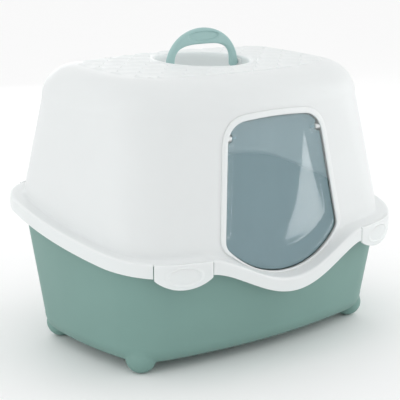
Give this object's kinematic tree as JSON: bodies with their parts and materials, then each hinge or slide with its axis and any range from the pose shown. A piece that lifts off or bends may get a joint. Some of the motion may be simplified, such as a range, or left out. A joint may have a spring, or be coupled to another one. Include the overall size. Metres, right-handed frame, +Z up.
{
  "type": "hooded cat litter box",
  "caption": "Cat litter box with a lift-off hood, a clear swinging door flap, side clips and a folding carry handle in a round recess",
  "frame": {"origin": "on the floor, under the middle of the flange", "axes": "+X along the doorway face to the right as seen from the front, -Y towards the doorway, +Z up"},
  "size_m": [0.56, 0.4, 0.4589],
  "materials": {
    "tray_plastic": "sage green polypropylene with a soft sheen",
    "hood_plastic": "off-white polypropylene, satin",
    "flap_plastic": "clear smoke-tinted, glossy",
    "handle_plastic": "pale sage green polypropylene, satin"
  },
  "bodies": {
    "tray": {"tray": "tray_plastic"},
    "hood": {"hood_shell": "hood_plastic"},
    "flap": {"door_flap": "flap_plastic"},
    "handle": {"handle": "handle_plastic"},
    "front_left_clip": {"front_left_clip": "hood_plastic"},
    "front_right_clip": {"front_right_clip": "hood_plastic"},
    "rear_left_clip": {"rear_left_clip": "hood_plastic"},
    "rear_right_clip": {"rear_right_clip": "hood_plastic"}
  },
  "joints": [
    {"name": "hood_lift", "type": "slide", "parent": "tray", "child": "hood", "axis": [0, 0, 1], "range_m": [0, 0.3]},
    {"name": "flap_swing", "type": "hinge", "parent": "hood", "child": "flap", "pos_m": [0, -0.14795, 0.3235], "axis": [1, 0, 0], "range_deg": [-70, 70]},
    {"name": "handle_fold", "type": "hinge", "parent": "hood", "child": "handle", "pos_m": [0, 0.013, 0.4033], "axis": [1, 0, 0], "range_deg": [-90, 90]},
    {"name": "front_left_clip_open", "type": "hinge", "parent": "hood", "child": "front_left_clip", "pos_m": [-0.18483, -0.17756, 0.17039], "axis": [-0.955, 0.2925, 0.049], "range_deg": [0, 80]},
    {"name": "front_right_clip_open", "type": "hinge", "parent": "hood", "child": "front_right_clip", "pos_m": [0.18483, -0.17756, 0.17039], "axis": [-0.955, -0.2925, -0.049], "range_deg": [0, 80]},
    {"name": "rear_left_clip_open", "type": "hinge", "parent": "hood", "child": "rear_left_clip", "pos_m": [-0.18499, 0.17751, 0.23061], "axis": [0.9742, 0.2225, 0.0373], "range_deg": [0, 80]},
    {"name": "rear_right_clip_open", "type": "hinge", "parent": "hood", "child": "rear_right_clip", "pos_m": [0.18499, 0.17751, 0.23061], "axis": [0.9742, -0.2225, -0.0373], "range_deg": [0, 80]}
  ]
}
